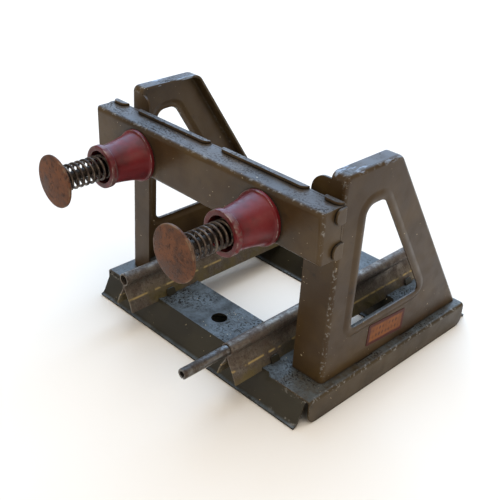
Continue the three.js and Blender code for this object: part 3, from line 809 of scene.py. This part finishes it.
def buildSleeper(end, outward):
    s = sleeperSheet
    low, high = nodeBox(end + "_sleeper")
    top = nodeBox("base_plate_left")[1].z
    step = min(abs(corner.x) for corner in nodeBox("base_plate_right")) - s["plateGap"]
    stations = [low.x, -step - s["sheet"], -step, step, step + s["sheet"], high.x]
    width = high.y - low.y - 2 * (s["lip"] + s["run"])
    rise = top - s["sheet"]
    bm = bmesh.new()
    verts = [bm.verts.new((x, low.y, s["sheet"])) for x in stations]
    edges = [bm.edges.new(pair) for pair in zip(verts, verts[1:])]
    bends = []
    for move in ((0, s["lip"], 0), (0, s["run"], rise), (0, width, 0), (0, s["run"], -rise)):
        edges, _ = foldOut(bm, edges, move)
        bends += edges
    foldOut(bm, edges, (0, s["lip"], 0))
    middle = (low.y + high.y) / 2
    for vert in bm.verts:
        if abs(vert.co.x) > step + s["sheet"] / 2 and vert.co.z > rise / 2:
            vert.co.z -= s["sheet"]
            vert.co.y += math.copysign(s["sheet"] * s["run"] / rise, vert.co.y - middle)
    bevel(bm, bends, s["bend"], 4)
    plate = max(bm.faces, key=lambda face: face.calc_area() * (face.calc_center_median().z > top - 0.05))
    ring = bmesh.ops.create_circle(
        bm, cap_ends=True, segments=40, radius=s["holeRadius"], matrix=Matrix.Translation((0, middle, top)))
    hole = ring["verts"][0].link_faces[0]
    fillAround(bm, plate, [hole])
    bmesh.ops.delete(bm, geom=[hole], context="FACES_ONLY")
    thicken(bm, s["sheet"], s["rim"], Vector((0, middle, -30)))
    shapes = [bm]
    lugMiddle = middle + outward * s["lugOffset"]
    for hand, side in sides.items():
        railLow, railHigh = nodeBox("rail_" + hand)
        leanPerHeight = (railFold["footWidth"] - railFold["creaseWidth"]) / 2 / railFold["creaseHeight"]
        lean = leanPerHeight * s["lugHeight"]
        for edgeX, sign in ((railLow.x, -1), (railHigh.x, 1)):
            x = edgeX + sign * (s["lugGap"] + s["lugSheet"])
            tongue = bmesh.new()
            ends = [
                tongue.verts.new((x, lugMiddle + y * s["lugWidth"] / 2, top - s["sheet"]))
                for y in (-1, 1)
            ]
            root, _ = foldOut(tongue, [tongue.edges.new(ends)], (0, 0, s["sheet"]))
            _, tips = foldOut(tongue, root, (-sign * lean, 0, s["lugHeight"]))
            for tip in tips:
                roundCorner(tongue, tip, 0.6, 4)
            thicken(tongue, s["lugSheet"], 0.08, Vector((x - sign * 10, lugMiddle, top)))
            shapes.append(tongue)
    return finishPiece(
        end + "Sleeper", "stop_body", "dark_enamel", [end + "_sleeper"], shapes, "darker_sleeper_enamel")


railFold = {
    "sheet": 0.33,
    "rim": 0.06,
    "footWidth": 6.0,
    "creaseWidth": 3.8,
    "creaseHeight": 2.8,
    "flareHeight": 5.2,
    "webHalf": 0.36,
    "headRadius": 1.5,
    "headSteps": 28,
    "creaseBend": 0.35,
    "flareBend": 0.9,
}

for end, outward in (("front", -1), ("rear", 1)):
    buildSleeper(end, outward)

# Rails and their pin


def buildRail(hand):
    s = railFold
    low, high = nodeBox("rail_" + hand)
    x = (low.x + high.x) / 2
    headZ = high.z - s["headRadius"]
    bm = bmesh.new()
    ends = [bm.verts.new((low.x, y, low.z)) for y in (low.y, high.y)]
    start = bm.edges.new(ends)
    foot, crease, web = s["footWidth"] / 2, s["creaseWidth"] / 2, s["webHalf"]
    creases, _ = foldOut(bm, [start], (foot - crease, 0, s["creaseHeight"]))
    flares, _ = foldOut(bm, creases, (crease - web, 0, s["flareHeight"] - s["creaseHeight"]))
    neck = headZ - math.sqrt(s["headRadius"] ** 2 - web ** 2)
    root, _ = foldOut(bm, flares, (0, 0, neck - low.z - s["flareHeight"]))
    opening = math.asin(web / s["headRadius"])
    spun = bmesh.ops.spin(
        bm, geom=root, cent=(x, 0, headZ), axis=(0, 1, 0), angle=2 * (math.pi - opening),
        steps=s["headSteps"])
    last = [item for item in spun["geom_last"] if isinstance(item, bmesh.types.BMEdge)]
    down, _ = foldOut(bm, last, (0, 0, low.z + s["flareHeight"] - neck))
    flares += down
    down, _ = foldOut(bm, down, (crease - web, 0, s["creaseHeight"] - s["flareHeight"]))
    creases += down
    foldOut(bm, down, (foot - crease, 0, -s["creaseHeight"]))
    bevel(bm, creases, s["creaseBend"], 3)
    bevel(bm, flares, s["flareBend"], 4)
    thicken(bm, s["sheet"], s["rim"], Vector((x, (low.y + high.y) / 2, low.z)))
    return finishPiece("rail_fold_" + hand, "stop_body", "tinned_rail", ["rail_" + hand], [bm])


pinTube = {"wall": 0.5, "seam": 14, "rim": 0.12, "steps": 40}


def buildPin():
    low, high = nodeBox("rail_pin")
    radius = (high.x - low.x) / 2
    x, z = (low.x + high.x) / 2, (low.z + high.z) / 2
    bm = bmesh.new()
    ends = [bm.verts.new((x, y, z - radius)) for y in (low.y, high.y)]
    bmesh.ops.spin(
        bm, geom=[bm.edges.new(ends)], cent=(x, 0, z), axis=(0, 1, 0),
        angle=math.radians(360 - pinTube["seam"]), steps=pinTube["steps"])
    thicken(bm, pinTube["wall"], pinTube["rim"], Vector((x, (low.y + high.y) / 2, z)))
    return finishPiece("railPin", "stop_body", "pale_steel", ["rail_pin"], [bm])


for hand in sides:
    buildRail(hand)
buildPin()

# Beam

beamSheet = {"sheet": 0.5, "bend": 1.1, "rim": 0.12}


def buildTray():
    s = beamSheet
    low, high = nodeBox("beam_tray")
    bm = bmesh.new()
    fitted = Matrix.Translation((low + high) / 2) @ Matrix.Diagonal((*(high - low), 1))
    bmesh.ops.create_cube(bm, size=1, matrix=fitted)
    rear = max(bm.faces, key=lambda face: face.calc_center_median().y)
    front = min(bm.faces, key=lambda face: face.calc_center_median().y)
    bends = list(front.edges)
    bmesh.ops.delete(bm, geom=[rear], context="FACES")
    bevel(bm, bends, s["bend"], 5)
    thicken(bm, s["sheet"], s["rim"], (low + high) / 2)
    return finishPiece("beamTray", "stop_body", "dark_enamel", ["beam_tray"], [bm])


backSheet = {
    "sheet": 0.5,
    "rim": 0.1,
    "bend": 0.45,
    "longTabGap": 4.0,
    "longTabEnd": 8.8,
    "tabDepth": 1.6,
    "tabCorner": 1.4,
    "endTabWidth": 4.3,
    "endTabInset": 0.15,
    "sideTabWidth": 3.3,
    "sideTabPlace": 3.7,
    "sideTabCorner": 1.5,
    "lift": 0.22,  # the folded tabs stand off the tray at their tips
}


def buildBackPlate():
    s = backSheet
    low, high = nodeBox("beam_back_plate")
    trayLow, trayHigh = nodeBox("beam_tray")
    half, middle = trayHigh.x, (trayLow.z + trayHigh.z) / 2
    inner, end = half - s["longTabEnd"], half - s["endTabInset"]
    spans = [(s["longTabGap"] / 2, inner), (end - s["endTabWidth"], end)]
    spans = sorted(spans + [(-b, -a) for a, b in spans])
    rises = [
        (
            middle + sign * s["sideTabPlace"] - s["sideTabWidth"] / 2,
            middle + sign * s["sideTabPlace"] + s["sideTabWidth"] / 2,
        )
        for sign in (-1, 1)
    ]
    across = [-half, *[x for span in spans for x in span], half]
    up = [z for span in rises for z in span]
    ring = [(x, trayLow.z) for x in across] + [(half, z) for z in up]
    ring += [(x, trayHigh.z) for x in reversed(across)] + [(-half, z) for z in reversed(up)]
    bm = bmesh.new()
    verts = {point: bm.verts.new((point[0], high.y, point[1])) for point in ring}
    bm.faces.new(verts.values())
    folds = []
    flaps = []
    for z, away in ((trayLow.z, -1), (trayHigh.z, 1)):
        for a, b in spans:
            flaps.append((verts[a, z], verts[b, z], Vector((0, 0, away)), s["tabDepth"], s["tabCorner"]))
    for x, away in ((-half, -1), (half, 1)):
        for a, b in rises:
            depth = high.y - low.y
            flaps.append((verts[x, a], verts[x, b], Vector((away, 0, 0)), depth, s["sideTabCorner"]))
    tips = []
    for first, second, away, depth, corner in flaps:
        fold, _ = foldOut(bm, [bm.edges.get((first, second))], away * s["sheet"])
        folds += fold
        _, ends = foldOut(bm, fold, Vector((0, -depth, 0)) + away * s["lift"])
        tips += [(vert, corner) for vert in ends]
    for vert, corner in tips:
        roundCorner(bm, vert, corner, 6)
    bevel(bm, folds, s["bend"], 3)
    thicken(bm, s["sheet"], s["rim"], Vector((0, low.y - 30, middle)))
    return finishPiece("beamBackPlate", "stop_body", "dark_enamel", ["beam_back_plate"], [bm], worn=False)


buildTray()
buildBackPlate()

# Buffers

housingShape = {
    "flange": 0.9,
    "neckRadius": 4.2,
    "rootRadius": 5.25,
    "lip": 1.3,
    "wall": 0.75,
    "floor": 0.6,
    "spigotRadius": 2.18,
    "rodHole": 1.08,
    "taperSteps": 8,
}


def buildHousing(hand):
    s = housingShape
    low, high = nodeBox("buffer_housing_" + hand)
    face = nodeBox("beam_tray")[0].y
    x, z = (low.x + high.x) / 2, (low.z + high.z) / 2
    flangeRadius = (high.x - low.x) / 2
    mouth, neck, root = low.y, low.y + s["lip"] + 0.25, face - s["flange"] - 0.35
    lipRadius = s["neckRadius"] + 0.45
    taper = []
    for i in range(s["taperSteps"] + 1):
        share = i / s["taperSteps"]
        spread = (s["rootRadius"] - s["neckRadius"]) * share ** 1.6
        taper.append((s["neckRadius"] + spread, neck + (root - neck) * share))
    profile = [
        (s["rodHole"], high.y),
        (s["rodHole"], face - s["floor"]),
        (s["neckRadius"] - s["wall"] + 0.3, face - s["floor"]),
        (s["neckRadius"] - s["wall"], mouth + s["lip"]),
        (s["neckRadius"] - s["wall"] + 0.1, mouth),
        (lipRadius, mouth),
        (lipRadius, mouth + s["lip"]),
        *taper,
        (s["rootRadius"] + 0.18, face - s["flange"]),
        (flangeRadius, face - s["flange"]),
        (flangeRadius, face),
        (s["spigotRadius"], face),
        (s["spigotRadius"], high.y),
    ]
    bm = turned(profile, x, z)
    easeEdges(bm, 40, 0.22, 3)
    return finishPiece(
        "bufferHousing_" + hand, "stop_body", "red_enamel", ["buffer_housing_" + hand], [bm])


headShape = {"edge": 0.6, "dome": 0.6, "domeSteps": 9, "bossRadius": 1.8, "bossLength": 0.7, "bore": 1.04}


def buildHead(hand):
    s = headShape
    low, high = nodeBox("buffer_head_" + hand)
    x, z = (low.x + high.x) / 2, (low.z + high.z) / 2
    radius = (high.x - low.x) / 2
    back = high.y - s["bossLength"]
    dome = []
    for i in range(s["domeSteps"] + 1):
        share = i / s["domeSteps"]
        dome.append((radius * share, low.y + s["dome"] * share ** 2))
    profile = [
        *dome, (radius, back), (s["bossRadius"], back), (s["bossRadius"], high.y),
        (s["bore"], high.y), (s["bore"], back - s["edge"] / 2), (0, back - s["edge"] / 2),
    ]
    bm = turned(profile, x, z)
    easeEdges(bm, 40, 0.16, 3)
    return finishPiece("bufferHead_" + hand, hand + "_buffer", "rusted_steel", ["buffer_head_" + hand], [bm])


def buildRod(hand):
    low, high = nodeBox("buffer_rod_" + hand)
    x, z = (low.x + high.x) / 2, (low.z + high.z) / 2
    rivetRadius = (high.x - low.x) / 2
    radius, height = rivetRadius - 0.7, 0.7
    rivet = [
        (rivetRadius * math.cos(angle), high.y - height + height * math.sin(angle))
        for angle in [math.radians(15 * i) for i in range(6)]
    ]
    profile = [(0, low.y), (radius, low.y), (radius, high.y - height), *rivet, (0, high.y)]
    bm = turned(profile, x, z, 40)
    easeEdges(bm, 50, 0.1, 2)
    return finishPiece(
        "bufferRod_" + hand, hand + "_buffer", "pale_steel", ["buffer_rod_" + hand], [bm], "oiled_steel")


def buildWasher(hand):
    low, high = nodeBox("rod_washer_" + hand)
    x, z = (low.x + high.x) / 2, (low.z + high.z) / 2
    outer, hole = (high.x - low.x) / 2, housingShape["rodHole"]
    bm = turned([(hole, low.y), (outer, low.y), (outer, high.y), (hole, high.y)], x, z, 48)
    easeEdges(bm, 50, 0.1, 2)
    return finishPiece("rodWasher_" + hand, hand + "_buffer", "pale_steel", ["rod_washer_" + hand], [bm])


coil = {"wire": 0.62, "turns": 16, "closedTurns": 1.25, "stepsPerTurn": 28, "sides": 10}


def buildSpring(hand):
    c = coil
    low, high = nodeBox("buffer_spring_" + hand)
    x, z = (low.x + high.x) / 2, (low.z + high.z) / 2
    wire = c["wire"] / 2
    bm = bmesh.new()
    start = Matrix.Translation((high.x - wire, low.y + wire, z))
    ring = bmesh.ops.create_circle(bm, cap_ends=True, segments=c["sides"], radius=wire, matrix=start)
    cap = ring["verts"][0].link_faces[0]
    closedPitch = c["wire"] * 1.04
    openTurns = c["turns"] - 2 * c["closedTurns"]
    openLength = (high.y - low.y) - c["wire"] - 2 * c["closedTurns"] * closedPitch
    geom = [cap, *cap.edges, *cap.verts]
    for turns, length in (
        (c["closedTurns"], c["closedTurns"] * closedPitch),
        (openTurns, openLength),
        (c["closedTurns"], c["closedTurns"] * closedPitch),
    ):
        steps = round(turns * c["stepsPerTurn"])
        geom = bmesh.ops.spin(
            bm, geom=geom, cent=(x, 0, z), axis=(0, 1, 0), dvec=(0, length / steps, 0),
            angle=2 * math.pi * turns, steps=steps)["geom_last"]
    bmesh.ops.remove_doubles(bm, verts=bm.verts, dist=0.001)
    bmesh.ops.recalc_face_normals(bm, faces=bm.faces)
    piece = finishPiece("bufferSpring_" + hand, "stop_body", "spring_steel", ["buffer_spring_" + hand], [bm])
    length = high.y - low.y
    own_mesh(piece)
    return piece


for hand in sides:
    buildHousing(hand)
    buildHead(hand)
    buildRod(hand)
    buildWasher(hand)
    buildSpring(hand)

# Maker's transfer

labelFilm = {"length": 13.0, "height": 5.4, "tilt": -0.075, "corner": 0.4, "rim": 0.05}


def buildLabel():
    s = labelFilm
    low, high = nodeBox("maker_label")
    middle = (low + high) / 2
    bm = bmesh.new()
    uvLayer = bm.loops.layers.uv.new(transfer["uvName"])
    half = Vector((0, s["length"] / 2, s["height"] / 2))
    verts = [bm.verts.new((high.x, y * half.y, z * half.z)) for y, z in ((-1, -1), (1, -1), (1, 1), (-1, 1))]
    bm.faces.new(verts)
    for vert in verts:
        roundCorner(bm, vert, s["corner"], 4)
    thicken(bm, high.x - low.x, s["rim"], Vector((0, 0, 0)))
    for face in bm.faces:
        for loop in face.loops:
            loop[uvLayer].uv = (loop.vert.co.y / s["length"] + 0.5, loop.vert.co.z / s["height"] + 0.5)
    bmesh.ops.rotate(bm, verts=bm.verts, cent=(0, 0, 0), matrix=Matrix.Rotation(s["tilt"], 3, "X"))
    bmesh.ops.translate(bm, verts=bm.verts, vec=(0, middle.y, middle.z))
    return finishPiece("makerTransfer", "stop_body", "transfer_film", ["maker_label"], [bm])


buildLabel()
print("all pieces made")
